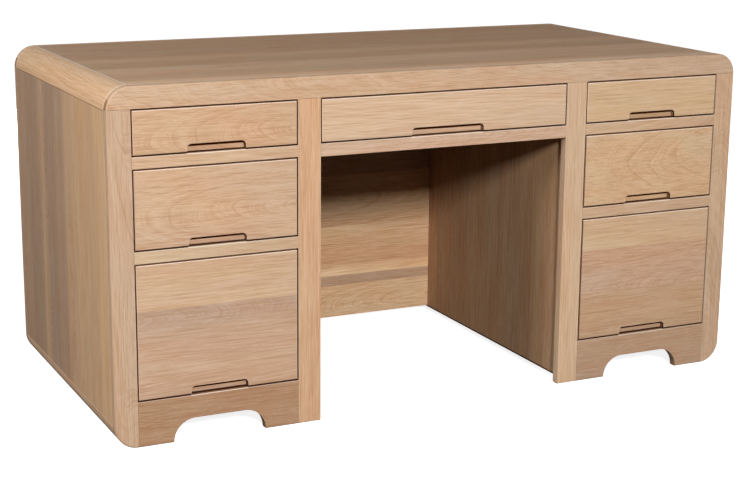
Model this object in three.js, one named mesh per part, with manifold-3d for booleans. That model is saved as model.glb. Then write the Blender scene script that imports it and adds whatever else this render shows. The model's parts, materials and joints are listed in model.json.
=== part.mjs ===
// Executive desk: two pedestals of three drawers each and a shallow centre drawer,
// under one top that rolls over at both ends. Millimetres, with the origin on the
// floor under the middle of the desk, +X to the right, +Y to the back and +Z up.
import * as THREE from "three";
import { mergeVertices } from "three/addons/utils/BufferGeometryUtils.js";
import Module from "manifold-3d";

const wasm = await Module();
wasm.setup();

// Overall size
const deskWidth = 1540;
const deskDepth = 762;
const deskHeight = 762;
const cornerRadius = 50;

// Space left between pieces that are glued or screwed together
const fitGap = 0.3;

// Board thicknesses
const frameThickness = 20;
const topThickness = 25;
const sideThickness = 19;
const innerThickness = 19;
const backThickness = 20;
const modestyThickness = 19;
const floorThickness = 19;

// Front frame, seen from the front
const outerStileWidth = 50;
const innerStileWidth = 52;
const pedestalOpening = 363;
const topRailHeight = 47;
const topRowOpening = 97.5;
const upperRailHeight = 25;
const middleRowOpening = 171.5;
const lowerRailHeight = 26;
const bottomRowOpening = 295;
const centreRailHeight = 28;
const frameEase = 2.5;

// Arched cut under each pedestal, front and back
const archWidth = 208;
const archHeight = 49;
const archRadius = 48;

// Case behind the frame
const innerSetback = 7;
const innerBottom = 15;
const modestyInset = 66;
const modestyBottom = 19;
const cornerFoot = 20;

// Drawer fronts and their finger pulls
const drawerGap = 2.4;
const drawerTopGap = 3.2;
const frontEase = 2;
const pullHeight = 17;
const pullDepth = 14;
const pullRadius = 9;
const pullLip = 5;
const pullUndercut = 6;
const sidePullWidth = 128;
const centrePullWidth = 178;

// Drawer boxes and what they slide on
const boxThickness = 14;
const boxSideClearance = 4;
const boxTopClearance = 12;
const centreBoxSideClearance = 5;
const runClearance = 0.5;
const sideBoxDepth = 520;
const centreBoxDepth = 480;
const bottomThickness = 6;
const bottomLift = 10;
const grooveDepth = 5;
const runnerHeight = 20;
const runnerSpare = 20;
const runnerLedge = 18;

// Smoothness of round stretches, as points for each quarter turn divided by two
const arcSteps = 10;
const pullArcSteps = 4;
const weldDistance = 1e-4;

// How far a cutting solid runs past what it cuts
const cutReach = 20;

// Places worked out from the sizes above
const halfWidth = deskWidth / 2;
const frontFace = -deskDepth / 2;
const backFace = deskDepth / 2;
const frameBack = frontFace + frameThickness;
const caseFront = frameBack + fitGap;
const openingOuter = halfWidth - outerStileWidth;
const openingInner = openingOuter - pedestalOpening;
const kneeHalf = openingInner - innerStileWidth;
const topRailBottom = deskHeight - topRailHeight;
const topRowBottom = topRailBottom - topRowOpening;
const middleRowTop = topRowBottom - upperRailHeight;
const middleRowBottom = middleRowTop - middleRowOpening;
const bottomRowTop = middleRowBottom - lowerRailHeight;
const bottomRowBottom = bottomRowTop - bottomRowOpening;
const topUnderside = deskHeight - topThickness;
const roundStart = halfWidth - cornerRadius;
const roundTop = deskHeight - cornerRadius;
const sideInner = halfWidth - sideThickness;
const innerFace = kneeHalf + innerSetback;
const innerBack = innerFace + innerThickness;
const archCentre = (openingOuter + openingInner) / 2;
const backPanelFront = backFace - backThickness;
const caseBack = backPanelFront - fitGap;
const sides = [["left", -1], ["right", 1]];

// Finishes, one for each kind of board
const finishes = {
  frame: { color: 0xd9b896, roughness: 0.5, metalness: 0 },
  front: { color: 0xd2ab85, roughness: 0.5, metalness: 0 },
  plinth: { color: 0xc0a082, roughness: 0.52, metalness: 0 },
  top: { color: 0xa88a6c, roughness: 0.45, metalness: 0 },
  corner: { color: 0xd0a57c, roughness: 0.48, metalness: 0 },
  side: { color: 0xa98769, roughness: 0.52, metalness: 0 },
  knee: { color: 0xb79068, roughness: 0.55, metalness: 0 },
  box: { color: 0xdcc7a4, roughness: 0.6, metalness: 0 },
  runner: { color: 0xc9ab80, roughness: 0.6, metalness: 0 },
};

const desk = new THREE.Group();

function addPiece(name, geometry, finish) {
  const mesh = new THREE.Mesh(geometry, new THREE.MeshStandardMaterial(finishes[finish]));
  mesh.name = name;
  desk.add(mesh);
}

// A plain board between two opposite corners
function board(x0, x1, y0, y1, z0, z1) {
  const geometry = new THREE.BoxGeometry(x1 - x0, y1 - y0, z1 - z0);
  geometry.translate((x0 + x1) / 2, (y0 + y1) / 2, (z0 + z1) / 2);
  return geometry;
}

// The same board on the right side, or mirrored to the left one
function sidedBoard(side, xNear, xFar, y0, y1, z0, z1) {
  const a = side * xNear;
  const b = side * xFar;
  return board(Math.min(a, b), Math.max(a, b), y0, y1, z0, z1);
}

// An outline drawn as seen from the front, given its thickness towards the back
function uprightSlab(shape, y0, y1, ease, steps) {
  const geometry = new THREE.ExtrudeGeometry(shape, {
    depth: y1 - y0 - 2 * ease,
    bevelEnabled: ease > 0,
    bevelThickness: ease,
    bevelSize: ease,
    bevelOffset: -ease,
    bevelSegments: 1,
    curveSegments: steps,
  });
  geometry.rotateX(Math.PI / 2);
  geometry.translate(0, y1 - ease, 0);
  return geometry;
}

function toSolid(geometry) {
  const bare = geometry.clone();
  bare.deleteAttribute("normal");
  bare.deleteAttribute("uv");
  const merged = mergeVertices(bare, weldDistance);
  const mesh = new wasm.Mesh({
    numProp: 3,
    vertProperties: new Float32Array(merged.attributes.position.array),
    triVerts: new Uint32Array(merged.index.array),
  });
  return new wasm.Manifold(mesh);
}

function toGeometry(solid) {
  const mesh = solid.getMesh();
  const indexed = new THREE.BufferGeometry();
  indexed.setAttribute("position", new THREE.BufferAttribute(mesh.vertProperties, 3));
  indexed.setIndex(new THREE.BufferAttribute(mesh.triVerts, 1));
  const geometry = indexed.toNonIndexed();
  geometry.computeVertexNormals();
  return geometry;
}

// Outline of the whole desk from the front: a rectangle with four round corners
function deskOutline() {
  const shape = new THREE.Shape();
  const quarter = Math.PI / 2;
  shape.absarc(roundStart, cornerRadius, cornerRadius, -quarter, 0, false);
  shape.absarc(roundStart, roundTop, cornerRadius, 0, quarter, false);
  shape.absarc(-roundStart, roundTop, cornerRadius, quarter, 2 * quarter, false);
  shape.absarc(-roundStart, cornerRadius, cornerRadius, 2 * quarter, 3 * quarter, false);
  return shape;
}

// Arch with a flat crown, running below the floor line so that it cuts right through
function archShape() {
  const shape = new THREE.Shape();
  const quarter = Math.PI / 2;
  const half = archWidth / 2;
  const crown = archHeight - archRadius;
  shape.moveTo(archCentre - half, -cornerRadius);
  shape.lineTo(archCentre + half, -cornerRadius);
  shape.absarc(archCentre + half - archRadius, crown, archRadius, 0, quarter, false);
  shape.absarc(archCentre - half + archRadius, crown, archRadius, quarter, 2 * quarter, false);
  return shape;
}

function archCutter(side, y0, y1) {
  const cutter = toSolid(uprightSlab(archShape(), y0, y1, 0, arcSteps));
  return side > 0 ? cutter : cutter.mirror([1, 0, 0]);
}

// That outline as one eased slab, from which the flat members are cut
function outlineBlank(y0, y1) {
  return toSolid(uprightSlab(deskOutline(), y0, y1, frameEase, arcSteps));
}

function cutMember(blank, side, xNear, xFar, z0, z1) {
  const y0 = frontFace - cutReach;
  const y1 = backFace + cutReach;
  return blank.intersect(toSolid(sidedBoard(side, xNear, xFar, y0, y1, z0, z1)));
}

function addFrontFrame() {
  const blank = outlineBlank(frontFace, frameBack);
  const wide = halfWidth + cutReach;
  const topRail = cutMember(blank, 1, -wide, wide, topRailBottom, deskHeight + cutReach);
  addPiece("front_top_rail", toGeometry(topRail), "frame");

  const centreRailZ = topRowBottom - centreRailHeight;
  const centreRailEnd = kneeHalf - fitGap;
  const centreRail = cutMember(blank, 1, -centreRailEnd, centreRailEnd, centreRailZ, topRowBottom);
  addPiece("centre_rail", toGeometry(centreRail), "frame");

  for (const [word, side] of sides) {
    const stileTop = topRailBottom - fitGap;
    const railNear = openingInner + fitGap;
    const railFar = openingOuter - fitGap;
    const outerStile = cutMember(blank, side, openingOuter, wide, -cutReach, stileTop);
    const innerStile = cutMember(blank, side, kneeHalf, openingInner, -cutReach, stileTop);
    const upperRail = cutMember(blank, side, railNear, railFar, middleRowTop, topRowBottom);
    const lowerRail = cutMember(blank, side, railNear, railFar, bottomRowTop, middleRowBottom);
    const plinthBlank = cutMember(blank, side, railNear, railFar, -cutReach, bottomRowBottom);
    const arch = archCutter(side, frontFace - cutReach, frameBack + cutReach);
    addPiece(`outer_stile_${word}`, toGeometry(outerStile), "frame");
    addPiece(`inner_stile_${word}`, toGeometry(innerStile), "frame");
    addPiece(`upper_rail_${word}`, toGeometry(upperRail), "frame");
    addPiece(`lower_rail_${word}`, toGeometry(lowerRail), "frame");
    addPiece(`plinth_${word}`, toGeometry(plinthBlank.subtract(arch)), "plinth");
  }
}

// Back: a rail over the full width, and behind each pedestal one board arched like the plinth
function addBack() {
  const blank = outlineBlank(backPanelFront, backFace);
  const wide = halfWidth + cutReach;
  const topRail = cutMember(blank, 1, -wide, wide, topRailBottom, deskHeight + cutReach);
  addPiece("back_top_rail", toGeometry(topRail), "frame");

  for (const [word, side] of sides) {
    const panelTop = topRailBottom - fitGap;
    const panelBlank = cutMember(blank, side, kneeHalf, wide, -cutReach, panelTop);
    const arch = archCutter(side, backPanelFront - cutReach, backFace + cutReach);
    addPiece(`back_panel_${word}`, toGeometry(panelBlank.subtract(arch)), "side");
  }
}

// Quarter round that joins the top to a side, running from front to back
function topCornerShape(side) {
  const shape = new THREE.Shape();
  shape.moveTo(side * roundStart, topUnderside);
  shape.lineTo(side * sideInner, roundTop);
  if (side > 0) {
    shape.absarc(roundStart, roundTop, cornerRadius, 0, Math.PI / 2, false);
  } else {
    shape.absarc(-roundStart, roundTop, cornerRadius, Math.PI, Math.PI / 2, true);
  }
  return shape;
}

// Quarter round under a side, ending in a flat foot that stands on the floor
function bottomCornerShape(side) {
  const shape = new THREE.Shape();
  const footEnd = roundStart - cornerFoot;
  shape.moveTo(side * sideInner, cornerRadius);
  shape.lineTo(side * roundStart, sideThickness);
  shape.lineTo(side * footEnd, sideThickness);
  shape.lineTo(side * footEnd, 0);
  if (side > 0) {
    shape.absarc(roundStart, cornerRadius, cornerRadius, -Math.PI / 2, 0, false);
  } else {
    shape.absarc(-roundStart, cornerRadius, cornerRadius, -Math.PI / 2, -Math.PI, true);
  }
  return shape;
}

function addCase() {
  const topEnd = roundStart - fitGap;
  const top = board(-topEnd, topEnd, caseFront, caseBack, topUnderside, deskHeight);
  addPiece("top_panel", top, "top");

  for (const [word, side] of sides) {
    const topCorner = uprightSlab(topCornerShape(side), caseFront, caseBack, 0, arcSteps);
    const bottomCorner = uprightSlab(bottomCornerShape(side), caseFront, caseBack, 0, arcSteps);
    const sideLow = cornerRadius + fitGap;
    const sideHigh = roundTop - fitGap;
    const sidePanel = sidedBoard(side, sideInner, halfWidth, caseFront, caseBack, sideLow, sideHigh);
    const innerTop = topUnderside - fitGap;
    const innerPanel = sidedBoard(side, innerFace, innerBack, caseFront, caseBack, innerBottom, innerTop);
    const floorLow = bottomRowBottom - floorThickness;
    const floorNear = innerBack + fitGap;
    const floorFar = sideInner - fitGap;
    const floor = sidedBoard(side, floorNear, floorFar, caseFront, caseBack, floorLow, bottomRowBottom);
    addPiece(`top_corner_${word}`, topCorner, "corner");
    addPiece(`bottom_corner_${word}`, bottomCorner, "side");
    addPiece(`side_panel_${word}`, sidePanel, "side");
    addPiece(`inner_panel_${word}`, innerPanel, "knee");
    addPiece(`pedestal_floor_${word}`, floor, "box");
  }

  const modestyEnd = innerFace - fitGap;
  const modestyBack = backFace - modestyInset;
  const modestyFront = modestyBack - modestyThickness;
  const modestyTop = topUnderside - fitGap;
  const modesty = board(-modestyEnd, modestyEnd, modestyFront, modestyBack, modestyBottom, modestyTop);
  addPiece("modesty_panel", modesty, "knee");
}

// Cutter for a finger pull: a round-cornered pocket at the lower edge of a drawer
// front, with a groove behind the lip for the fingertips to hook into
function pullCutter(xCentre, frontBottom, pullWidth) {
  const half = pullWidth / 2;
  const crown = frontBottom + pullHeight - pullRadius;
  const quarter = Math.PI / 2;
  const below = frontBottom - pullHeight;
  const pocketShape = new THREE.Shape();
  pocketShape.moveTo(xCentre - half, below);
  pocketShape.lineTo(xCentre + half, below);
  pocketShape.absarc(xCentre + half - pullRadius, crown, pullRadius, 0, quarter, false);
  pocketShape.absarc(xCentre - half + pullRadius, crown, pullRadius, quarter, 2 * quarter, false);
  const pocketBack = frontFace + pullDepth;
  const pocketFront = frontFace - pullDepth;
  const pocket = toSolid(uprightSlab(pocketShape, pocketFront, pocketBack, 0, pullArcSteps));
  const grooveEnd = half - pullRadius;
  const grooveFront = frontFace + pullLip;
  const grooveTop = crown + pullRadius + pullUndercut;
  const groove = toSolid(board(
    xCentre - grooveEnd, xCentre + grooveEnd, grooveFront, pocketBack, crown, grooveTop,
  ));
  return pocket.add(groove);
}

// One drawer: the solid front, the four-sided box behind it and the bottom in its groove
function addDrawer(name, x0, x1, z0, z1, boxSide, boxDepth, pullWidth) {
  const frontShape = new THREE.Shape();
  frontShape.moveTo(x0 + drawerGap, z0 + drawerGap);
  frontShape.lineTo(x1 - drawerGap, z0 + drawerGap);
  frontShape.lineTo(x1 - drawerGap, z1 - drawerTopGap);
  frontShape.lineTo(x0 + drawerGap, z1 - drawerTopGap);
  const blank = toSolid(uprightSlab(frontShape, frontFace, frameBack, frontEase, 1));
  const front = blank.subtract(pullCutter((x0 + x1) / 2, z0 + drawerGap, pullWidth));
  addPiece(`${name}_front`, toGeometry(front), "front");

  const bx0 = x0 + boxSide;
  const bx1 = x1 - boxSide;
  const by0 = frameBack + fitGap;
  const by1 = by0 + boxDepth;
  const bz0 = z0 + runClearance;
  const bz1 = z1 - boxTopClearance;
  const above = bz1 + boxTopClearance;
  const below = bz0 - boxTopClearance;
  const t = boxThickness;
  const bottomLow = bz0 + bottomLift;
  const bottomHigh = bottomLow + bottomThickness;
  const hollow = toSolid(board(bx0 + t, bx1 - t, by0 + t, by1 - t, below, above));
  const g = t - grooveDepth;
  const groove = toSolid(board(
    bx0 + g, bx1 - g, by0 + g, by1 - g, bottomLow - fitGap, bottomHigh + fitGap,
  ));
  const walls = toSolid(board(bx0, bx1, by0, by1, bz0, bz1)).subtract(hollow).subtract(groove);
  addPiece(`${name}_box`, toGeometry(walls), "box");

  const b = g + fitGap;
  const bottom = board(bx0 + b, bx1 - b, by0 + b, by1 - b, bottomLow, bottomHigh);
  addPiece(`${name}_bottom`, bottom, "box");
}

// Strip under one side of a drawer box, fixed to the panel beside it
function addRunner(name, xPanel, xLedge, zTop, boxDepth) {
  const x0 = Math.min(xPanel, xLedge);
  const x1 = Math.max(xPanel, xLedge);
  const y1 = caseFront + boxDepth + runnerSpare;
  addPiece(name, board(x0, x1, caseFront, y1, zTop - runnerHeight, zTop), "runner");
}

function addDrawers() {
  const rows = [
    ["top", topRowBottom, topRailBottom],
    ["middle", middleRowBottom, middleRowTop],
    ["bottom", bottomRowBottom, bottomRowTop],
  ];
  for (const [word, side] of sides) {
    const x0 = Math.min(side * openingInner, side * openingOuter);
    const x1 = Math.max(side * openingInner, side * openingOuter);
    for (const [row, z0, z1] of rows) {
      const name = `${word}_${row}_drawer`;
      addDrawer(name, x0, x1, z0, z1, boxSideClearance, sideBoxDepth, sidePullWidth);
      if (row !== "bottom") {
        const innerPanel = side * (innerBack + fitGap);
        const outerPanel = side * (sideInner - fitGap);
        const innerLedge = side * (openingInner + boxSideClearance + runnerLedge);
        const outerLedge = side * (openingOuter - boxSideClearance - runnerLedge);
        addRunner(`${word}_${row}_inner_runner`, innerPanel, innerLedge, z0, sideBoxDepth);
        addRunner(`${word}_${row}_outer_runner`, outerPanel, outerLedge, z0, sideBoxDepth);
      }
    }
    const kneePanel = side * (innerFace - fitGap);
    const kneeLedge = side * (kneeHalf - centreBoxSideClearance - runnerLedge);
    addRunner(`centre_runner_${word}`, kneePanel, kneeLedge, topRowBottom, centreBoxDepth);
  }
  addDrawer(
    "centre_drawer", -kneeHalf, kneeHalf, topRowBottom, topRailBottom,
    centreBoxSideClearance, centreBoxDepth, centrePullWidth,
  );
}

addFrontFrame();
addCase();
addBack();
addDrawers();

export default desk;
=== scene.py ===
import json
import math
import random
import bmesh
import bpy
from mathutils import Matrix, Vector


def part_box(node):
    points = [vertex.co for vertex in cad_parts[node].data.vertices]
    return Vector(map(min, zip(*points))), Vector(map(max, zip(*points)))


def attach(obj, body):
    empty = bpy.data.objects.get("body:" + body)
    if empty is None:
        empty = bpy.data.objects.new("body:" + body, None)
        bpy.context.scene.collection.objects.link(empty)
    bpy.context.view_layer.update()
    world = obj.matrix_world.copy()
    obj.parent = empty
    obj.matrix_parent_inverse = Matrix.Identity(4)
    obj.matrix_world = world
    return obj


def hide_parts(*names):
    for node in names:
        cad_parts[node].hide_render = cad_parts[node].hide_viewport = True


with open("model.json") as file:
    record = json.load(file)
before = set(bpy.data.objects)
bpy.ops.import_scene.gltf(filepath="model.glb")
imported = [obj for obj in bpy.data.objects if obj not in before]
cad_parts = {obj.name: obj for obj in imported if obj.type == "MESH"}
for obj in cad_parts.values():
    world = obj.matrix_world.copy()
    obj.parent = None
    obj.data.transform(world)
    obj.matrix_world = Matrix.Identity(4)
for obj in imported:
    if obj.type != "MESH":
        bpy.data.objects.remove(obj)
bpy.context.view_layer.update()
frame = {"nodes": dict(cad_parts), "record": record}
nodes = frame["nodes"]
bodyOfNode = {}
for bodyName, members in frame["record"]["behaviour"]["bodies"].items():
    for member in members:
        bodyOfNode[member] = bodyName
scene = bpy.context.scene
print("frame loaded,", len(nodes), "nodes")


# Camera: from the left front, 1.2 m up and looking down a little

cameraSettings = {
    "lens": 77.5,                      # on a 36 mm wide sensor
    "place": (-1.666, -3.463, 1.211),
    "turn": 25.8,                      # degrees from straight ahead, to the right
    "tilt": -13.36,                    # degrees, down
    "roll": 0.51,                      # degrees
    "farthest": 100,                   # metres; nothing is drawn beyond this
}


def addCamera(s):
    turn, tilt, roll = (math.radians(s[k]) for k in ("turn", "tilt", "roll"))
    ahead = Vector((math.sin(turn) * math.cos(tilt), math.cos(turn) * math.cos(tilt), math.sin(tilt)))
    right = Vector((math.cos(turn), -math.sin(turn), 0))
    above = right.cross(ahead)
    rolledRight = right * math.cos(roll) + above * math.sin(roll)
    rolledAbove = above * math.cos(roll) - right * math.sin(roll)
    data = bpy.data.cameras.new("camera")
    data.lens = s["lens"]
    data.clip_end = s["farthest"]
    eye = bpy.data.objects.new("camera", data)
    turned = Matrix((rolledRight, rolledAbove, -ahead)).transposed().to_4x4()
    eye.matrix_world = Matrix.Translation(s["place"]) @ turned
    scene.collection.objects.link(eye)
    scene.camera = eye


addCamera(cameraSettings)


# Shader helpers: put adds a node with its links, and the others return output sockets

def put(tree, kind, links=(), **values):
    node = tree.nodes.new(kind)
    for key, value in values.items():
        setattr(node, key, value)
    for key, source in dict(links).items():
        socket = node.inputs[key]
        if isinstance(source, bpy.types.NodeSocket):
            tree.links.new(source, socket)
        else:
            socket.default_value = source
    return node


def calc(tree, operation, a, b=0.0, c=0.0, clamp=False):
    node = put(tree, "ShaderNodeMath", {0: a, 1: b, 2: c}, operation=operation, use_clamp=clamp)
    return node.outputs[0]


def vectorCalc(tree, operation, a, b):
    node = put(tree, "ShaderNodeVectorMath", {0: a, 1: b}, operation=operation)
    return node.outputs[0]


def noise(tree, vector, stretch, detail=2.0, rough=0.5):
    spread = vectorCalc(tree, "MULTIPLY", vector, stretch)
    links = {"Vector": spread, "Scale": 1.0, "Detail": detail, "Roughness": rough}
    return put(tree, "ShaderNodeTexNoise", links).outputs


def remap(tree, value, low, high, toLow=0.0, toHigh=1.0, shape="SMOOTHSTEP"):
    links = {"Value": value, "From Min": low, "From Max": high, "To Min": toLow, "To Max": toHigh}
    node = put(tree, "ShaderNodeMapRange", links, interpolation_type=shape, clamp=True)
    return node.outputs[0]


def blendColour(tree, amount, a, b, mode="MIX"):
    node = put(tree, "ShaderNodeMix", data_type="RGBA", blend_type=mode, clamp_result=True)
    for key, source in ((0, amount), (6, a), (7, b)):           # the sockets of a colour mix
        if isinstance(source, bpy.types.NodeSocket):
            tree.links.new(source, node.inputs[key])
        else:
            node.inputs[key].default_value = source
    return node.outputs[2]


def linear(rgb):
    # A colour as written for the screen, 0 to 255, in the values that Blender works with
    parts = []
    for value in rgb:
        v = value / 255
        parts.append(v / 12.92 if v <= 0.04045 else ((v + 0.055) / 1.055) ** 2.4)
    return (*parts, 1.0)


# Oak figure: a board is a slice of one solid log, so the rings run through it and
# come out as arches on the face and as arcs on the ends. Stretches are along the
# grain, across the board and through it

figureSettings = {
    "taper": 0.075,                    # how fast the log widens, which makes the arches
    "bend": {"stretch": (1.6, 6.0, 6.0), "reach": 0.040},
    "ripple": {"stretch": (7.0, 40.0, 40.0), "reach": 0.0030},
    "uneven": {"pace": 70.0, "reach": 3.0},             # the log grew faster in some years
    "rise": 2.6,                       # how late in a ring its dark wood comes
    "drop": 0.88,                      # from here on it fades out again
    "faintest": 0.3,                   # strength of the faintest ring
    "ringPatch": (0.3, 0.65, 0.5, 1.0),                 # range of the patch noise, strength of the rings
    "flow": (3.0, 60.0, 60.0),         # broad bands along the grain
    "flowShare": 0.2,                  # of the streaks
    "streak": (6.0, 260.0, 260.0),
    "fibre": (11.0, 560.0, 560.0),
    "pore": (38.0, 820.0, 820.0),
    "openPores": (0.54, 0.68),         # pores open over this range of their noise
    "latePores": (0.1, 0.7, 1.0, 0.35),                 # part of a ring, strength of the pores
    "blotch": (1.5, 9.0, 9.0),
    "patch": (2.6, 20.0, 20.0),
    "ringHeight": 0.25,                # against the depth of a pore
}
figureNames = ("Ring", "Streak", "Fibre", "Pore", "Blotch", "Patch")
# Edge carries wear and painted highlight, End the sawn ends, and Gap painted shade
markNames = ("Edge", "End", "Gap")


def sway(tree, wood, s):
    # Sideways movement of the grain, none of it along the board
    drift = noise(tree, wood, s["stretch"])["Color"]
    drift = vectorCalc(tree, "SUBTRACT", drift, (0.5, 0.5, 0.5))         # its middle, so it goes both ways
    return vectorCalc(tree, "MULTIPLY", drift, (0.0, s["reach"], s["reach"]))


def buildOakFigure(s):
    group = bpy.data.node_groups.new("oakFigure", "ShaderNodeTree")
    sockets = group.interface
    sockets.new_socket(name="Wood", in_out="INPUT", socket_type="NodeSocketVector")
    sockets.new_socket(name="Spacing", in_out="INPUT", socket_type="NodeSocketFloat")
    for label in (*figureNames, "Height"):
        sockets.new_socket(name=label, in_out="OUTPUT", socket_type="NodeSocketFloat")
    start = put(group, "NodeGroupInput")
    end = put(group, "NodeGroupOutput")
    wood = start.outputs["Wood"]

    bent = vectorCalc(group, "ADD", wood, sway(group, wood, s["bend"]))
    bent = vectorCalc(group, "ADD", bent, sway(group, wood, s["ripple"]))
    along, across, deep = put(group, "ShaderNodeSeparateXYZ", {0: bent}).outputs
    deep = calc(group, "MULTIPLY_ADD", along, s["taper"], deep)
    square = calc(group, "MULTIPLY", across, across)
    radius = calc(group, "SQRT", calc(group, "MULTIPLY_ADD", deep, deep, square))

    turn = calc(group, "DIVIDE", radius, start.outputs["Spacing"])
    year = calc(group, "MULTIPLY", radius, s["uneven"]["pace"])
    uneven = put(group, "ShaderNodeTexNoise", {"W": year, "Detail": 1.0}, noise_dimensions="1D")
    turn = calc(group, "MULTIPLY_ADD", uneven.outputs[0], s["uneven"]["reach"], turn)
    phase = calc(group, "FRACT", turn)
    rise = calc(group, "POWER", phase, s["rise"])
    drop = remap(group, phase, s["drop"], 1.0, 1.0, 0.0)
    whichRing = calc(group, "FLOOR", turn)
    luck = put(group, "ShaderNodeTexWhiteNoise", {"W": whichRing}, noise_dimensions="1D")
    strength = remap(group, luck.outputs["Value"], 0.0, 1.0, s["faintest"], 1.0, "LINEAR")
    ring = calc(group, "MULTIPLY", calc(group, "MULTIPLY", rise, drop), strength)
    patch = noise(group, wood, s["patch"], detail=1.0)[0]
    ring = calc(group, "MULTIPLY", ring, remap(group, patch, *s["ringPatch"]))

    flow = noise(group, bent, s["flow"], detail=1.0)[0]
    streak = noise(group, bent, s["streak"], detail=3.0, rough=0.6)[0]
    streak = calc(group, "MULTIPLY", streak, 1.0 - s["flowShare"])
    streak = calc(group, "MULTIPLY_ADD", flow, s["flowShare"], streak)
    fibre = noise(group, wood, s["fibre"], rough=0.6)[0]
    pore = remap(group, noise(group, wood, s["pore"], rough=0.6)[0], *s["openPores"])
    pore = calc(group, "MULTIPLY", pore, remap(group, phase, *s["latePores"]))
    blotch = noise(group, wood, s["blotch"])[0]
    height = calc(group, "MULTIPLY", ring, s["ringHeight"])
    height = calc(group, "MULTIPLY_ADD", pore, -1.0, height)
    for label, value in zip(figureNames, (ring, streak, fibre, pore, blotch, patch)):
        group.links.new(value, end.inputs[label])
    group.links.new(height, end.inputs["Height"])
    return group


# Oak colour: what the figure, the wear, and the painted highlights and shade do to the tone of a board

colourSettings = {
    "blotchRange": (0.35, 0.65),       # ranges of the noises over which a tint comes in
    "patchRange": (0.4, 0.6),
    "streakRange": (0.42, 0.66),
    "fibreRange": (0.44, 0.64),
    "blotchWarm": (255, 249, 242),     # tints are multiplied in
    "blotchCool": (249, 247, 246),
    "pinkShift": (254, 249, 248),
    "ringShadow": (223, 205, 192),     # late wood of each ring
    "streakShadow": (247, 241, 233),
    "fibreShadow": (235, 226, 213),
    "endShade": (206, 197, 189),       # sawn ends
    # painted shade for the gaps, the pulls, the seams and the undersides
    "gapShade": (102, 58, 29),
    "limeWhite": (244, 230, 214),      # laid over the pores, and over the edges as wear and painted highlight
    "limeShare": 0.22,
    "edgeShare": 0.6,
}


def buildOakColour(s):
    group = bpy.data.node_groups.new("oakColour", "ShaderNodeTree")
    sockets = group.interface
    sockets.new_socket(name="Tone", in_out="INPUT", socket_type="NodeSocketColor")
    for label in (*figureNames, *markNames, "Figure"):
        sockets.new_socket(name=label, in_out="INPUT", socket_type="NodeSocketFloat")
    sockets.new_socket(name="Colour", in_out="OUTPUT", socket_type="NodeSocketColor")
    g = put(group, "NodeGroupInput").outputs
    end = put(group, "NodeGroupOutput")

    def shaded(colour, amount, tint):
        darker = blendColour(group, 1.0, colour, linear(tint), "MULTIPLY")
        return blendColour(group, amount, colour, darker)

    def limed(colour, amount, share):
        amount = calc(group, "MULTIPLY", amount, share)
        return blendColour(group, amount, colour, linear(s["limeWhite"]))

    def figured(label):
        amount = remap(group, g[label.capitalize()], *s[label + "Range"])
        return calc(group, "MULTIPLY", amount, g["Figure"])

    warm = remap(group, g["Blotch"], *s["blotchRange"])
    tint = blendColour(group, warm, linear(s["blotchCool"]), linear(s["blotchWarm"]))
    colour = blendColour(group, 1.0, g["Tone"], tint, "MULTIPLY")
    colour = shaded(colour, remap(group, g["Patch"], *s["patchRange"]), s["pinkShift"])
    colour = shaded(colour, calc(group, "MULTIPLY", g["Ring"], g["Figure"], clamp=True), s["ringShadow"])
    colour = shaded(colour, figured("streak"), s["streakShadow"])
    colour = shaded(colour, figured("fibre"), s["fibreShadow"])
    colour = limed(colour, g["Pore"], s["limeShare"])
    # the edges take wear and painted highlight
    colour = limed(colour, g["Edge"], s["edgeShare"])
    colour = shaded(colour, g["End"], s["endShade"])
    # painted shade
    colour = shaded(colour, g["Gap"], s["gapShade"])
    group.links.new(colour, end.inputs["Colour"])
    return group


oakFigure = buildOakFigure(figureSettings)
oakColour = buildOakColour(colourSettings)


# Finishes: the same limed oak, sanded and lacquered to different degrees. Spacing is
# the distance of two rings in metres

finishSettings = {
    "frameOak": {"figure": 0.88, "spacing": 0.0042, "rough": 0.56, "bump": 0.3, "shine": 0.16},
    "frontOak": {"figure": 0.86, "spacing": 0.0070, "rough": 0.54, "bump": 0.3, "shine": 0.16},
    "topOak": {"figure": 0.8, "spacing": 0.0040, "rough": 0.60, "bump": 0.25, "shine": 0.08},
    "sideOak": {"figure": 0.8, "spacing": 0.0040, "rough": 0.58, "bump": 0.3, "shine": 0.08},
    "kneeOak": {"figure": 1.25, "spacing": 0.0075, "rough": 0.62, "bump": 0.3, "shine": 0.04},
    "innerOak": {"figure": 1.2, "spacing": 0.0110, "rough": 0.62, "bump": 0.3, "shine": 0.04},
    "boxWood": {"figure": 0.5, "spacing": 0.0050, "rough": 0.64, "bump": 0.2, "shine": 0.1},
    "runnerWood": {"figure": 0.6, "spacing": 0.0030, "rough": 0.60, "bump": 0.2, "shine": 0.1},
}
lacquerSettings = {
    "streakRough": 0.16,               # from the smoothest streak to the dullest
    "endRough": 0.2,                   # a sawn end is this much duller
    "slant": (0.35, 0.8),              # the gloss falls off as a face turns away over this range
    "slantShine": 0.12,                # down to this share
    "relief": 0.0004,                  # depth of a pore in metres
}


def readMark(tree, name, output="Vector"):
    return put(tree, "ShaderNodeAttribute", attribute_name=name).outputs[output]


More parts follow.
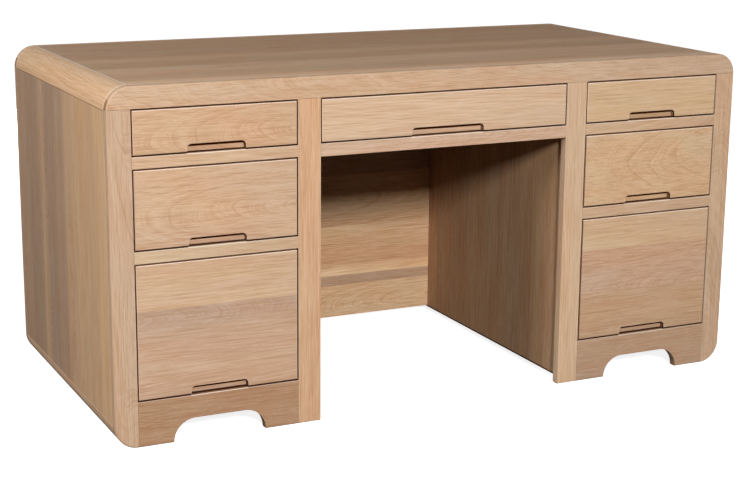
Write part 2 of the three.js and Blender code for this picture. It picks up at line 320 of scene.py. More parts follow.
def buildOak(name, s, lacquer):
    material = bpy.data.materials.new(name)
    material.use_nodes = True
    tree = material.node_tree
    tree.nodes.clear()
    figure = put(tree, "ShaderNodeGroup", node_tree=oakFigure)
    tree.links.new(readMark(tree, "wood"), figure.inputs["Wood"])
    figure.inputs["Spacing"].default_value = s["spacing"]
    marks = put(tree, "ShaderNodeSeparateXYZ", {0: readMark(tree, "marks")}).outputs
    colour = put(tree, "ShaderNodeGroup", node_tree=oakColour)
    tree.links.new(readMark(tree, "tone", "Color"), colour.inputs["Tone"])
    for label in figureNames:
        tree.links.new(figure.outputs[label], colour.inputs[label])
    for label, mark in zip(markNames, marks):
        tree.links.new(mark, colour.inputs[label])
    colour.inputs["Figure"].default_value = s["figure"]

    edge, end, gap = marks
    swing = lacquer["streakRough"]
    rough = calc(tree, "MULTIPLY_ADD", figure.outputs["Streak"], swing, s["rough"] - swing / 2)
    rough = calc(tree, "MULTIPLY_ADD", end, lacquer["endRough"], rough)
    facing = put(tree, "ShaderNodeLayerWeight", {"Blend": 0.5}).outputs["Facing"]
    shine = remap(tree, facing, *lacquer["slant"], s["shine"], s["shine"] * lacquer["slantShine"])
    shine = calc(tree, "MULTIPLY", shine, calc(tree, "SUBTRACT", 1.0, gap, clamp=True))
    bump = put(tree, "ShaderNodeBump", {
        "Strength": s["bump"], "Distance": lacquer["relief"], "Height": figure.outputs["Height"],
    })
    shader = put(tree, "ShaderNodeBsdfPrincipled", {
        "Base Color": colour.outputs[0], "Roughness": rough, "Normal": bump.outputs[0],
        "Specular IOR Level": shine,
    })
    out = put(tree, "ShaderNodeOutputMaterial")
    tree.links.new(shader.outputs[0], out.inputs[0])
    return material


oaks = {name: buildOak(name, s, lacquerSettings) for name, s in finishSettings.items()}
print("finishes built,", len(oaks))


# Tones of single boards, as they look in plain light, except where a list of boards below holds painted
# light or shade

tones = {
    "tan": (210, 183, 156),
    "honey": (216, 187, 154),
    "pale": (216, 190, 165),
    "straw": (212, 188, 159),
    "pink": (206, 176, 151),
    "grey": (198, 174, 153),
    "brown": (190, 164, 141),
    "umber": (178, 152, 129),
    "topLight": (233, 203, 174),
    "topFawn": (214, 184, 156),
    "shell": (222, 192, 164),
    "bark": (203, 172, 144),
    "kneeLight": (223, 192, 158),
    "kneeCream": (230, 201, 167),
    "kneePink": (209, 174, 141),
    "kneeGreen": (213, 180, 145),
    "kneeGrey": (186, 159, 137),
    "innerEdge": (222, 188, 154),
    "innerFront": (195, 162, 130),
    "innerMiddle": (191, 161, 131),
    "innerBack": (187, 153, 122),
    "apricot": (218, 180, 146),
    "linen": (207, 180, 154),
    "oat": (213, 188, 159),
    "coral": (209, 180, 158),
    "husk": (226, 194, 161),
    "bran": (188, 160, 136),
    "blush": (211, 181, 153),
    "melon": (210, 178, 147),
    "buff": (219, 191, 162),
    "smoke": (192, 165, 145),
    "rose": (206, 175, 150),
    "fawn": (203, 177, 153),
    "rust": (198, 167, 138),
    "dusk": (178, 146, 118),
    "birch": (225, 209, 179),
    "peach": (234, 201, 166),
    "sand": (223, 189, 151),
    "wheat": (215, 181, 145),
    "clay": (207, 174, 142),
    "taupe": (186, 158, 134),
}
axisNumber = {"x": 0, "y": 1, "z": 2}
grainAxes = {                          # along the grain, across the board, through it
    "rail": ("x", "z", "y"),
    "stile": ("z", "x", "y"),
    "top": ("x", "y", "z"),
    "side": ("z", "y", "x"),
    "deep": ("y", "z", "x"),
    "corner": ("y", "x", "z"),
}
boardRanges = {
    "heart": (-0.4, 1.4),              # where the arches are centred, as a share of the width
    "depth": (0.035, 0.09),            # metres from the face to the heart of the log
    "apex": (-0.8, 0.8),               # where along the grain the arches turn, in metres
}


def boardsFor(name, plan):
    # Fills in what a board's entry leaves open, the same way on each run
    dice = random.Random(name)
    filled = []
    for entry in plan:
        board = {
            "end": 1.0,                # where the board ends, as a share of the width
            "blend": 0.0,              # how softly it goes over into the next one
            "heart": dice.uniform(*boardRanges["heart"]),
            "depth": dice.uniform(*boardRanges["depth"]),
            "apex": dice.uniform(*boardRanges["apex"]),
            "way": dice.choice((-1, 1)),
            "steep": 1.0,              # how much faster than usual the arches come
        }
        board.update(entry)
        filled.append(board)
    return filled


# Shapes: copies of the CAD solids with rounded edges

meshSettings = {
    "merge": 0.00002,                  # metres; closer points of a CAD mesh become one
    "level": 0.5,                      # degrees; a flatter join of two faces goes
    "sharp": 25,                       # degrees; a sharper edge is rounded
    "square": 60,                      # degrees; the same for what a wide rim leaves over
    "crisp": 38,                       # degrees; the shading breaks at a sharper edge
    "segments": 2,                     # of a rounded edge
    "near": 0.0001,                    # metres; what is closer counts as the same place
    "snap": 0.00001,                   # metres; a cut this close to a point goes through it
    "straight": 0.999,                 # an edge this close to an axis runs along it
}


def mergedCopy(node):
    bm = bmesh.new()
    bm.from_mesh(nodes[node].data)
    bmesh.ops.remove_doubles(bm, verts=bm.verts, dist=meshSettings["merge"])
    limit = math.radians(meshSettings["level"])
    bmesh.ops.dissolve_limit(bm, angle_limit=limit, verts=bm.verts, edges=bm.edges)
    return bm


def roundOff(bm, edges, width):
    done = bmesh.ops.bevel(bm, geom=edges, offset=width, offset_type="OFFSET", affect="EDGES",
                           segments=meshSettings["segments"], profile=0.5, material=-1, clamp_overlap=True)
    roundedFace = bm.faces.layers.int["roundedFace"]
    for face in done["faces"]:
        face[roundedFace] = 1


def onRim(edge, where, low, high):
    # Whether an edge takes the wider rounding: round the front and back end of a
    # piece, along the top of its face, or along the arcs of its face
    near = meshSettings["near"]
    a, b = (v.co for v in edge.verts)
    if where == "ends":
        return any(abs(a.y - y) < near and abs(b.y - y) < near for y in (low.y, high.y))
    if abs(a.y - low.y) > near or abs(b.y - low.y) > near:
        return False
    if where == "top":
        return min(a.z, b.z) > high.z - near
    return min(a.z, b.z) > low.z + 10 * near and abs(a.z - b.z) > near


def isSharp(edge, degrees):
    return len(edge.link_faces) == 2 and edge.calc_face_angle(0) >= math.radians(degrees)


def easeEdges(bm, width, grain, ends, rim, where):
    # Rounds the sharp edges; edges across a glued end stay crisp, and a rim is wider
    roundedFace = bm.faces.layers.int.new("roundedFace")
    sharp = []
    for edge in bm.edges:
        if isSharp(edge, meshSettings["sharp"]):
            run = (edge.verts[1].co - edge.verts[0].co).normalized()
            endEdge = max(abs(run[i]) for i in range(3) if i != grain) > meshSettings["straight"]
            if ends or not endEdge:
                sharp.append(edge)
    if rim is None:
        roundOff(bm, sharp, width)
        return
    low, high = (Vector([pick(v.co[i] for v in bm.verts) for i in range(3)]) for pick in (min, max))
    roundOff(bm, [edge for edge in sharp if onRim(edge, where, low, high)], rim)
    rest = []
    for edge in bm.edges:
        if isSharp(edge, meshSettings["square"]) and not any(face[roundedFace] for face in edge.link_faces):
            rest.append(edge)
    roundOff(bm, rest, width)


# Openings of the frame, one round each drawer front, as left, right, foot and top

openingSettings = {
    "margin": 0.0034,                  # metres from a drawer front to the edge of its opening
    "onFrame": 0.0012,                 # the part of this that lies on the frame
    "frameBack": -0.36,                # y just behind the frame
    "near": 0.002,                     # what is closer than this is in line
    "past": 0.01,                      # an opening may reach this far past the end of its rail
    "pullHalf": 0.064,                 # half the width of a pull
    "centrePullHalf": 0.089,
}


def isFront(node):
    return node.endswith("_drawer_front")


def isRail(node):
    return "rail" in node or "plinth" in node


def isStile(node):
    return "_stile" in node


def pullHalf(node):
    return openingSettings["centrePullHalf" if node.startswith("centre") else "pullHalf"]


openings = {}
for node in filter(isFront, nodes):
    low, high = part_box(node)
    margin = openingSettings["margin"]
    opening = (low[0] - margin, high[0] + margin, low[2] - margin, high[2] + margin)
    openings[node.removesuffix("_drawer_front")] = opening


def inOpening(p):
    return any(left <= p.x <= right and foot <= p.z <= top for left, right, foot, top in openings.values())


def standsOn(foot, high):
    # Whether an opening with this foot stands on a piece with this top
    return abs(foot + openingSettings["onFrame"] - high.z) < openingSettings["near"]


def sillAt(high, p):
    # What stands on this place of a rail: 0 nothing, 1 a drawer, 2 its pull
    near = openingSettings["near"]
    for drawer, (left, right, foot, top) in openings.items():
        if standsOn(foot, high) and left - near < p.x < right + near:
            return 2 if abs(p.x - (left + right) / 2) < pullHalf(drawer) else 1
    return 0


# Marks: every face knows its wear and painted highlight, and its painted shade where it
# lies in a gap. The functions get its middle p, its normal n, and low and high, the corners of its piece

leaning = 0.3                          # a face leans along an axis when its normal does by this
rounded = 0.2                          # and this much is enough on a rounded edge
level = 0.1                            # a face that leans by less is upright or flat
flat = 0.9                             # it is square to an axis when its normal does by this
bevelLean = (0.15, 0.97)
bands = {                              # metres
    "seam": 0.0032,                    # painted highlight strip of a corner moulding along the top panel
    "touch": 0.0018,                   # painted highlight strip along the top edge of a rail
    "sill": 0.0075,                    # light reaches this far in under a pull
    "wall": 0.0050,                    # and this far into the gap beside a drawer
    "foot": 0.0040,                    # painted shade strip along the foot of the inner panels
    "pullEnd": 0.0016,                 # painted highlight strip at the left end of a pull
    "leftEdge": 0.0030,                # painted shade strip of a drawer front along its left edge
    "skin": 0.0010,                    # anything this close to a face is part of it
}
frontDepths = {                        # metres behind the face of a drawer front
    "lip": 0.0052,                     # just behind the lip of a pull
    "plate": 0.0130,                   # just before its plate
    "walls": 0.0138,                   # its walls are before this
    "bevel": (0.0013, 0.0021),         # the part of the bevel that lies in the gap
}
frontHeights = {                       # metres above the foot of a drawer front
    "hollow": (0.0165, 0.0300),        # behind the lip
    "plate": 0.0096,                   # above this a plate lies in the shadow of the lip
    "bottomPlate": 0.0086,             # the same on the bottom drawers
}
sideSkin = 0.0002                      # faces this close to a side of a drawer front are on it
pullInset = 0.01                       # the walls of a pull are at least this far from the sides
# Wear and painted highlights
wearAndHighlights = {
    "seam": 1.2,
    "stile": 0.8,
    "pullEnd": 0.5,
    "rail": (0.0, 0.55, 1.3),          # bare, below a drawer, below its pull
    "least": 0.1,                      # on a rounded edge that faces down or sideways
    "upward": 1.4,                     # and the painted highlight grows as the edge turns up
    "topRail": (0.1, 2.2),             # the top rail takes painted highlight at its round ends, little between them
    "bevelTop": 1.6,
    "bevelRight": 1.4,
    "bevelLeft": 0.55,
}
# Painted shade in gaps and pulls, along seams and under pieces
shades = {
    "gap": 0.9,                        # the frame round a drawer
    "lightGap": 0.35,                  # beside a drawer, where the light reaches in
    "stileEdge": 0.15,
    "foot": 1.0,
    "seam": 0.55,
    "underside": 0.5,                  # of the bottom corner mouldings
    "frontSide": 0.6,
    "frontTop": 0.85,
    "frontBevel": 0.3,
    "hollow": 1.0,
    "lipEnd": 1.0,
    "pullWall": 0.35,
    "plateShadow": 1.0,
    "plate": 0.12,
    "rightTopPlate": 0.3,
}
leftShades = {                         # painted shade along the left edge, most on the drawers that sit a little to the right
    "left_top": 0.1,
    "left_middle": 0.4,
    "left_bottom": 0.1,
    "right_middle": 0.7,
    "right_bottom": 0.75,
}
gapBounceLight = Vector((0.55, 0.28, 0.10, 1.0))              # painted bounce light: light that has gone between two oak faces
# how much of the painted bounce light each part of a front takes
bounceShares = {
    "side": 1.0,
    "innerSide": 0.3,
    "bevel": 1.0,
    "topBevel": 0.75,
}


def plateTop(node):
    return frontHeights["bottomPlate" if "bottom" in node else "plate"]


def onSide(p, low, high):
    return min(p.x - low.x, high.x - p.x, p.z - low.z, high.z - p.z) < sideSkin


def isBevel(n):
    return bevelLean[0] < abs(n.y) < bevelLean[1]


def inGapBevel(p, n, low):
    start, end = frontDepths["bevel"]
    return isBevel(n) and low.y + start < p.y < low.y + end


def touched(node, p, n, low, high):
    # How much painted highlight a face takes: the corner mouldings along the top panel, the
    # edge of a stile beside a drawer, the left end of a pull, and the top edge of a
    # rail, most of all under a pull
    if node.startswith("top_corner"):
        return wearAndHighlights["seam"] if n.z > flat and min(p.x - low.x, high.x - p.x) < bands["seam"] else 0.0
    if n.y > -leaning:
        return 0.0
    if isStile(node):
        return wearAndHighlights["stile"] if n.x < -leaning and inOpening(p) else 0.0
    if isFront(node):
        end = (low.x + high.x) / 2 - pullHalf(node)
        beside = end - bands["pullEnd"] < p.x < end and p.z < low.z + plateTop(node)
        return wearAndHighlights["pullEnd"] if beside and p.y < low.y + bands["skin"] else 0.0
    if not isRail(node) or n.z < -level or p.z < high.z - bands["touch"]:
        return 0.0
    return wearAndHighlights["rail"][sillAt(high, p)]


def bevelHighlight(node, p, n, low):
    # Painted highlight on the wide bevels round the drawer fronts, most of it along the top
    if not isFront(node) or not isBevel(n) or inGapBevel(p, n, low):
        return 0.0
    sideways = wearAndHighlights["bevelRight" if n.x > 0 else "bevelLeft"]
    return max(0.0, wearAndHighlights["bevelTop"] * n.z) + sideways * abs(n.x)


def wearAndHighlightAt(node, isRounded, p, n, low, high):
    # A rounded edge takes wear and a painted highlight that grows as it turns up
    if isRounded:
        wearAndHighlight = min(1.0, max(wearAndHighlights["least"], n.z * wearAndHighlights["upward"]))
    else:
        wearAndHighlight = bevelHighlight(node, p, n, low)
    wearAndHighlight = max(wearAndHighlight, touched(node, p, n, low, high))
    if node == "front_top_rail":
        least, growth = wearAndHighlights["topRail"]
        wearAndHighlight *= min(1.0, least + growth * abs(n.x))
    return wearAndHighlight


def bounceLightAt(node, p, n, low, high):
    # How far a face of a drawer front takes the painted bounce light of the gap
    if not isFront(node):
        return 0.0
    if onSide(p, low, high):
        return bounceShares["side" if p.y < low.y + frontDepths["lip"] else "innerSide"]
    if inGapBevel(p, n, low):
        return bounceShares["topBevel" if n.z > leaning else "bevel"]
    return 0.0


def frontShade(node, p, n, low, high):
    # A drawer front takes painted shade on its sides, in its pull and along its left edge
    inLip = p.y < low.y + frontDepths["lip"]
    if abs(n.y) > flat:
        if n.y > 0 or p.y <= low.y + frontDepths["plate"]:
            return 0.0
        if p.z > low.z + plateTop(node):
            return shades["plateShadow"]
        return shades["rightTopPlate" if node.startswith("right_top") else "plate"]
    if onSide(p, low, high):
        if not inLip:
            return 0.0
        return shades["frontSide" if abs(n.x) > flat else "frontTop"]
    if p.y < low.y + frontDepths["walls"]:
        hollowFoot, hollowTop = frontHeights["hollow"]
        if not inLip and low.z + hollowFoot < p.z < low.z + hollowTop:
            return shades["hollow"]
        if abs(n.x) > leaning and min(p.x - low.x, high.x - p.x) > pullInset:
            return shades["lipEnd" if inLip else "pullWall"]
    shade = 0.0
    if n.x < -leaning and p.x < low.x + bands["leftEdge"]:
        shade = leftShades.get(node.removesuffix("_drawer_front"), 0.0)
    if inGapBevel(p, n, low) and n.z <= leaning:
        shade = max(shade, shades["frontBevel"])
    return shade


def frameShade(node, p, n, low, high):
    # The frame takes painted shade round the drawers, but none where the light reaches the
    # edge of a rail, its top under a pull, and the front part of a side that faces left
    if p.y > openingSettings["frameBack"] or not inOpening(p):
        return 0.0
    if isRail(node) and n.z > leaning:
        underPull = sillAt(high, p) == 2 and p.y < low.y + bands["sill"]
        if n.z < flat or underPull:
            return 0.0
    if isStile(node) and n.x < -leaning and p.y < low.y + bands["wall"]:
        return 0.0 if node == "outer_stile_right" else shades["lightGap"]
    return shades["gap"]


def shadeAt(node, p, n, low, high):
    # How much painted shade a face takes: in a gap, under the lip of a pull, along a seam, on the rounded
    # edge of an outer stile, at the foot of an inner panel and under a bottom corner moulding
    if isFront(node):
        return frontShade(node, p, n, low, high)
    if abs(n.y) > flat:
        return 0.0
    if node.startswith("outer_stile") and n.y < -rounded and abs(n.x) > rounded:
        return shades["stileEdge"]
    if node.startswith("inner_panel"):
        return shades["foot"] if p.z < low.z + bands["foot"] else 0.0
    if node.startswith("top_corner"):
        return shades["seam"] if abs(n.x) > leaning and p.z < low.z + bands["skin"] else 0.0
    if node.startswith("side_panel"):
        return shades["seam"] if n.z > leaning else 0.0
    if node.startswith("bottom_corner"):
        return shades["underside"] if n.z < -leaning else 0.0
    return frameShade(node, p, n, low, high)


def toneAt(boards, index, share):
    # The tone of a board, blended into the next one near a soft seam
    tone = Vector(linear(tones[boards[index]["tone"]]))
    for other, seam in ((index + 1, index), (index - 1, index - 1)):
        if 0 <= other < len(boards) and 0 <= seam and boards[seam]["blend"] > 0:
            mix = max(0.0, 0.5 - abs(share - boards[seam]["end"]) / (2 * boards[seam]["blend"]))
            tone = tone.lerp(Vector(linear(tones[boards[other]["tone"]])), mix)
    return tone


def markBoards(bm, node, axes, boards, low, high, facing):
    # Writes each board's place in the log, its tone, and where its edges and ends are,
    # with the wear, painted highlight, painted shade and painted bounce light of each face
    grain, across, through = (axisNumber[letter] for letter in axes)
    width = high[across] - low[across]
    surface = low[through] if facing < 0 else high[through]
    wood = bm.loops.layers.float_vector.new("wood")
    tone = bm.loops.layers.float_color.new("tone")
    marks = bm.loops.layers.float_vector.new("marks")
    roundedFace = bm.faces.layers.int["roundedFace"]
    bm.normal_update()
    for face in bm.faces:
        middle = face.calc_center_median()
        n = face.normal
        share = (middle[across] - low[across]) / width
        index = next((i for i, b in enumerate(boards) if share <= b["end"]), len(boards) - 1)
        board = boards[index]
        heart = low[across] + board["heart"] * width
        wearAndHighlight = wearAndHighlightAt(node, face[roundedFace], middle, n, low, high)
        sawn = 1.0 if abs(n[grain]) > flat else 0.0
        shade = shadeAt(node, middle, n, low, high)
        bounceTint = Vector((1, 1, 1, 1)).lerp(gapBounceLight, bounceLightAt(node, middle, n, low, high))
        for loop in face.loops:
            p = loop.vert.co
            along = board["way"] * board["steep"] * (p[grain] - board["apex"])
            deep = (surface - p[through]) * facing + board["depth"]
            loop[wood] = Vector((along, p[across] - heart, deep))
            loop[tone] = toneAt(boards, index, (p[across] - low[across]) / width) * bounceTint
            loop[marks] = Vector((wearAndHighlight, sawn, shade))


def cutAcross(bm, axis, place):
    along = Vector((0, 0, 0))
    along[axisNumber[axis]] = 1
    everything = bm.verts[:] + bm.edges[:] + bm.faces[:]
    bmesh.ops.bisect_plane(bm, geom=everything, dist=meshSettings["snap"], plane_co=along * place,
                           plane_no=along)


def cutSeams(bm, axis, boards, low, high):
    number = axisNumber[axis]
    for board in boards[:-1]:
        for share in {board["end"] - board["blend"], board["end"], board["end"] + board["blend"]}:
            cutAcross(bm, axis, low[number] + share * (high[number] - low[number]))


def cutMarks(bm, node, kind, low, high):
    # Cuts a piece where its marks begin and end
    if node.startswith("inner_stile"):
        cutAcross(bm, "z", openings["centre"][2])
    if isFront(node):
        cutAcross(bm, "z", low.z + plateTop(node))
        cutAcross(bm, "y", low.y + frontDepths["lip"])
        cutAcross(bm, "y", low.y + frontDepths["bevel"][0])
        cutAcross(bm, "x", (low.x + high.x) / 2 - pullHalf(node) - bands["pullEnd"])
    past = openingSettings["past"]
    for drawer, (left, right, foot, top) in openings.items():
        if kind == "rail" and standsOn(foot, high) and low.x - past < left and right < high.x + past:
            cutAcross(bm, "z", high.z - bands["touch"])
            cutAcross(bm, "x", (left + right) / 2 - pullHalf(drawer))
            cutAcross(bm, "x", (left + right) / 2 + pullHalf(drawer))
            cutAcross(bm, "y", low.y + bands["sill"])
    if isStile(node):
        cutAcross(bm, "y", low.y + bands["wall"])
    if node.startswith("inner_panel"):
        cutAcross(bm, "z", low.z + bands["foot"])


def finishPiece(bm, node, material):
    mesh = bpy.data.meshes.new(node + "_oak")
    bm.to_mesh(mesh)
    bm.free()
    mesh.shade_smooth()
    mesh.set_sharp_from_angle(angle=math.radians(meshSettings["crisp"]))
    piece = bpy.data.objects.new(node + "_oak", mesh)
    scene.collection.objects.link(piece)
    even = piece.modifiers.new("even", "WEIGHTED_NORMAL")
    even.keep_sharp = True
    mesh.materials.append(oaks[material])
    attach(piece, bodyOfNode[node])
    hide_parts(node)


def oakPiece(node, material, kind, plan, facing=-1, ends=True, ease=0.0006, rim=None, where="ends"):
    # Makes a CAD solid again in oak. Facing says whether the face that shows is the
    # lower or the upper one, and ends whether the edges across the grain are rounded
    low, high = (Vector(corner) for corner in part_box(node))
    axes = grainAxes[kind]
    boards = boardsFor(node, plan)
    bm = mergedCopy(node)
    cutSeams(bm, axes[1], boards, low, high)
    cutMarks(bm, node, kind, low, high)
    easeEdges(bm, ease, axisNumber[axes[0]], ends, rim, where)
    if node.startswith("top_corner"):                   # sooner, these cuts would narrow the rim
        cutAcross(bm, "x", low.x + bands["seam"])
        cutAcross(bm, "x", high.x - bands["seam"])
    markBoards(bm, node, axes, boards, low, high, facing)
    finishPiece(bm, node, material)


# Front frame

frameBoards = {
    "front_top_rail": ("rail", [
        {"tone": "linen", "heart": 1.3, "depth": 0.045, "apex": 0.3, "way": -1, "steep": 1.7},
    ]),
    "centre_rail": ("rail", [{"tone": "coral"}]),
    "outer_stile_left": ("stile", [
        {"tone": "fawn", "heart": 0.95, "depth": 0.05, "apex": 0.81, "way": -1},
    ]),
    "outer_stile_right": ("stile", [{"tone": "linen", "heart": 0.3, "depth": 0.06}]),
    "inner_stile_left": ("stile", [{"tone": "apricot", "heart": -0.8}]),
    "inner_stile_right": ("stile", [{"tone": "buff", "heart": 1.6}]),
    "upper_rail_left": ("rail", [{"tone": "tan", "heart": 3.5}]),
    "upper_rail_right": ("rail", [{"tone": "tan", "heart": 2.0}]),
    "lower_rail_left": ("rail", [{"tone": "straw", "heart": 3.0}]),
    "lower_rail_right": ("rail", [{"tone": "tan", "heart": -2.0}]),
    "plinth_left": ("rail", [{"tone": "dusk", "heart": 1.4}]),
    "plinth_right": ("rail", [{"tone": "bran", "heart": -0.3}]),
}
frameEdges = {"ease": 0.0004, "ends": False}
topRailRim = {"rim": 0.0016, "where": "arc"}
for node, (kind, plan) in frameBoards.items():
    edges = {**frameEdges, **topRailRim} if node == "front_top_rail" else frameEdges
    oakPiece(node, "frameOak", kind, plan, **edges)
print("front frame done")


# Case

# The top panel is lighter towards the front: painted light
topBoards = [
    {"tone": "topLight", "end": 0.06, "heart": 0.3, "blend": 0.02},
    {"tone": "topFawn", "end": 0.20, "heart": -0.5, "blend": 0.02},
    {"tone": "shell", "end": 0.33, "heart": 0.27, "blend": 0.02},
    {"tone": "bark", "end": 0.46, "heart": 1.3, "blend": 0.03},
    {"tone": "topFawn", "end": 0.56, "heart": 0.7, "blend": 0.03},
    {"tone": "bark", "end": 0.78, "heart": 0.67, "blend": 0.04},
    {"tone": "bark", "end": 1.0, "heart": 1.5},
]
# The side panels are darker towards the back: painted shade
sideBoards = [
    {"tone": "sand", "end": 0.03, "heart": 4.0, "blend": 0.008},
    {"tone": "sand", "end": 0.10, "heart": 0.6, "blend": 0.02},
    {"tone": "wheat", "end": 0.173, "heart": -0.6, "blend": 0.02},
    {"tone": "wheat", "end": 0.343, "heart": 1.5, "blend": 0.03},
    {"tone": "clay", "end": 0.443, "heart": 0.39, "depth": 0.05, "apex": 0.1, "way": 1, "blend": 0.02},
    {"tone": "taupe", "end": 0.546, "heart": 1.6, "blend": 0.02},
    {"tone": "umber", "end": 0.675, "heart": 0.66, "blend": 0.03},
    {"tone": "clay", "end": 0.73, "heart": -0.4, "blend": 0.02},
    {"tone": "umber", "end": 0.903, "heart": 1.5, "blend": 0.03},
    {"tone": "taupe", "end": 1.0, "heart": 1.5},
]
modestyBoards = [
    {"tone": "kneeLight", "end": 0.118, "heart": 0.048, "depth": 0.045, "apex": 0.10, "way": -1,
     "steep": 1.4},
    {"tone": "kneeGrey", "end": 0.155, "heart": 1.2},
    {"tone": "kneeCream", "end": 0.19, "heart": 1.2, "blend": 0.008},
    {"tone": "kneePink", "end": 0.315, "heart": 0.7, "blend": 0.012},
    {"tone": "kneeCream", "end": 0.341, "heart": 0.7},
    {"tone": "kneeGreen", "end": 0.53, "heart": 0.45},
    {"tone": "taupe", "end": 0.75, "heart": 0.7},
    {"tone": "tan", "end": 1.0, "heart": -0.5},
]
innerBoards = [
    # The lighter strip along the front edge is painted light over a shadow
    {"tone": "innerEdge", "end": 0.018, "heart": 3.0, "blend": 0.006},
    {"tone": "innerFront", "end": 0.24, "heart": 3.0, "blend": 0.05},
    {"tone": "innerMiddle", "end": 0.60, "heart": -2.0, "blend": 0.03},
    {"tone": "innerBack", "end": 0.84, "heart": -2.4, "blend": 0.02},
    {"tone": "innerFront", "end": 1.0, "heart": 3.0},
]
backBoards = [
    {"tone": "brown", "end": 0.2},
    {"tone": "tan", "end": 0.42},
    {"tone": "grey", "end": 0.63},
    {"tone": "tan", "end": 0.82},
    {"tone": "brown", "end": 1.0},
]
backRailBoards = [{"tone": "tan", "heart": -0.3}]
topCornerBoards = [{"tone": "peach", "heart": 0.5}]
bottomCornerBoards = [{"tone": "husk", "heart": 0.5}]
boxBoards = [{"tone": "birch"}]
runnerBoards = [{"tone": "honey"}]
caseEdges = {                          # metres
    "top_panel": {"ease": 0.0007, "rim": 0.0006},
    "top_corner": {"ease": 0.0007, "rim": 0.0020},
    "bottom_corner": {"ease": 0.0004, "rim": 0.0010},
    "side_panel": {"ease": 0.0003, "rim": 0.0004},
}
oakPiece("top_panel", "topOak", "top", topBoards, facing=1, **caseEdges["top_panel"])
oakPiece("modesty_panel", "kneeOak", "rail", modestyBoards)
oakPiece("back_top_rail", "frameOak", "rail", backRailBoards, facing=1, ends=False)
for word, side in (("left", -1), ("right", 1)):
    oakPiece("top_corner_" + word, "topOak", "corner", topCornerBoards, facing=1, **caseEdges["top_corner"])
    oakPiece("bottom_corner_" + word, "sideOak", "corner", bottomCornerBoards, **caseEdges["bottom_corner"])
    oakPiece("side_panel_" + word, "sideOak", "side", sideBoards, facing=side, **caseEdges["side_panel"])
    oakPiece("inner_panel_" + word, "innerOak", "side", innerBoards, facing=-side)
    oakPiece("back_panel_" + word, "sideOak", "stile", backBoards, facing=1, ends=False)
    oakPiece("pedestal_floor_" + word, "boxWood", "top", boxBoards, facing=1)
print("case done")


# Drawers

frontBoards = {
    "left_top": [
        {"tone": "melon", "heart": 0.35, "depth": 0.09, "apex": -0.62, "way": -1, "steep": 1.6},
    ],
    "left_middle": [
        {"tone": "blush", "heart": 0.40, "depth": 0.09, "apex": -0.68, "way": -1, "steep": 1.6},
    ],
    "left_bottom": [
        {"tone": "pink", "end": 0.28, "heart": -0.5, "blend": 0.015},
        {"tone": "rose", "end": 0.5, "heart": 1.5, "depth": 0.06, "blend": 0.1},
        {"tone": "smoke", "end": 0.66, "heart": 0.6, "depth": 0.06},
        {"tone": "tan", "end": 1.0, "heart": 1.6},
    ],
    "right_top": [{"tone": "honey", "heart": -1.6}],
    "right_middle": [
        {"tone": "honey", "heart": 0.62, "depth": 0.035, "apex": 0.80, "way": -1, "steep": 3.4},
    ],
    "right_bottom": [
        {"tone": "rust", "end": 0.37, "heart": -0.8, "blend": 0.03},
        {"tone": "rose", "end": 0.74, "heart": 0.4, "depth": 0.04, "apex": 0.62, "way": -1, "steep": 1.6},
        {"tone": "oat", "end": 1.0, "heart": 2.0},
    ],
    "centre": [{"tone": "pale", "heart": 2.2}],
}
frontEdges = {"ease": 0.0004, "rim": 0.0011, "where": "top"}
for drawer, plan in frontBoards.items():
    oakPiece(drawer + "_drawer_front", "frontOak", "rail", plan, **frontEdges)
    oakPiece(drawer + "_drawer_box", "boxWood", "deep", boxBoards)
    oakPiece(drawer + "_drawer_bottom", "boxWood", "top", boxBoards, facing=1)
for node in nodes:
    if "runner" in node:
        oakPiece(node, "runnerWood", "deep", runnerBoards)
print("drawers done")


# Floor, sky and lights

lampSettings = {
    "key": {"from": (-1.5, -6.5, 3.28), "aim": (0.0, -0.3, 0.42), "size": 0.95, "power": 496.0},
    "left": {"from": (-2.95, -0.80, 1.35), "aim": (-0.7, 0.0, 0.4), "size": 0.5, "power": 34.5},
    "right": {"from": (3.9, 0.5, 0.66), "aim": (0.77, 0.0, 0.4), "size": 1.2, "power": 46.0},
    "back": {"from": (-0.4, 4.2, 0.66), "aim": (0.0, 0.38, 0.4), "size": 1.2, "power": 62.0},
}
studioSettings = {
    "sky": 0.024,                      # even light from all round
    "floorSize": 30,                   # metres
    "floorDrop": 0.0004,               # the floor lies this far below the feet
    "floorSeen": 0.92,                 # its grey as the camera sees it
    "floorBounce": 0.04,               # and as the desk does
    "floorGlow": (0.86, 1.0),          # by the desk and far from it
    "glowReach": (0.9, 3.0),           # metres
}
white = (1, 1, 1, 1)


def addAreaLight(name, s):
    data = bpy.data.lights.new(name, "AREA")
    data.shape = "SQUARE"
    data.size = s["size"]
    data.energy = s["power"]
    lamp = bpy.data.objects.new(name, data)
    lamp.location = s["from"]
    aim = Vector(s["aim"]) - Vector(s["from"])
    lamp.rotation_euler = aim.to_track_quat("-Z", "Y").to_euler()
    lamp.visible_camera = False
    scene.collection.objects.link(lamp)


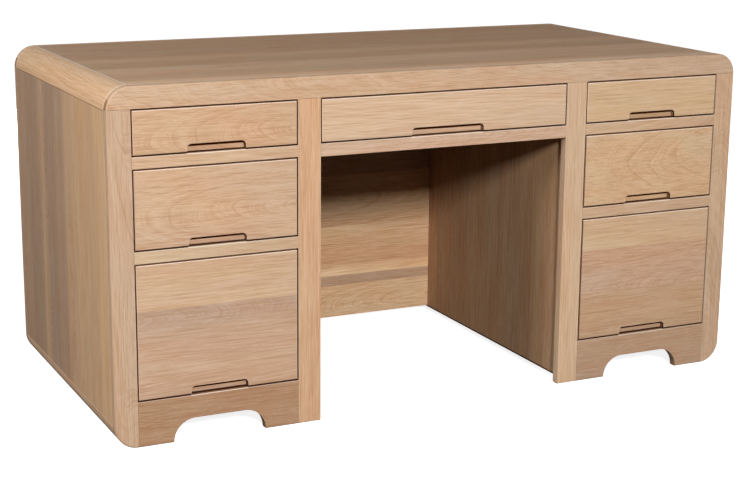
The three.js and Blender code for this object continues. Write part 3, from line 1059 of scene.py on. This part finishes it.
def seenDirectly(tree):
    path = put(tree, "ShaderNodeLightPath")
    seen = calc(tree, "MAXIMUM", path.outputs["Is Camera Ray"], path.outputs["Is Glossy Ray"])
    return calc(tree, "MAXIMUM", seen, path.outputs["Is Transmission Ray"])


def addWorld(s):
    world = bpy.data.worlds.new("studio")
    world.use_nodes = True
    tree = world.node_tree
    tree.nodes.clear()
    strength = remap(tree, seenDirectly(tree), 0.0, 1.0, s["sky"], 1.0, "LINEAR")
    light = put(tree, "ShaderNodeBackground", {"Color": white, "Strength": strength})
    out = put(tree, "ShaderNodeOutputWorld")
    tree.links.new(light.outputs[0], out.inputs[0])
    scene.world = world


def buildFloorPaper(s):
    material = bpy.data.materials.new("floorPaper")
    material.use_nodes = True
    tree = material.node_tree
    tree.nodes.clear()
    seen = seenDirectly(tree)
    shade = remap(tree, seen, 0.0, 1.0, s["floorBounce"], s["floorSeen"], "LINEAR")
    grey = put(tree, "ShaderNodeCombineColor", {0: shade, 1: shade, 2: shade}).outputs[0]
    paper = put(tree, "ShaderNodeBsdfDiffuse", {"Color": grey})
    here = put(tree, "ShaderNodeTexCoord").outputs["Object"]
    away = put(tree, "ShaderNodeVectorMath", {0: here}, operation="LENGTH").outputs["Value"]
    glowAt = remap(tree, away, *s["glowReach"], *s["floorGlow"])
    strength = calc(tree, "MULTIPLY", seen, glowAt)
    glow = put(tree, "ShaderNodeEmission", {"Color": white, "Strength": strength})
    both = put(tree, "ShaderNodeAddShader", {0: paper.outputs[0], 1: glow.outputs[0]})
    out = put(tree, "ShaderNodeOutputMaterial")
    tree.links.new(both.outputs[0], out.inputs[0])
    return material


def addFloor(s):
    bm = bmesh.new()
    bmesh.ops.create_grid(bm, x_segments=1, y_segments=1, size=s["floorSize"])
    bmesh.ops.translate(bm, verts=bm.verts, vec=(0, 0, -s["floorDrop"]))
    mesh = bpy.data.meshes.new("floor")
    bm.to_mesh(mesh)
    bm.free()
    mesh.materials.append(buildFloorPaper(s))
    floor = bpy.data.objects.new("floor", mesh)
    scene.collection.objects.link(floor)


for name, s in lampSettings.items():
    addAreaLight(name, s)
addWorld(studioSettings)
addFloor(studioSettings)
scene.view_settings.view_transform = "Standard"
print("studio done")
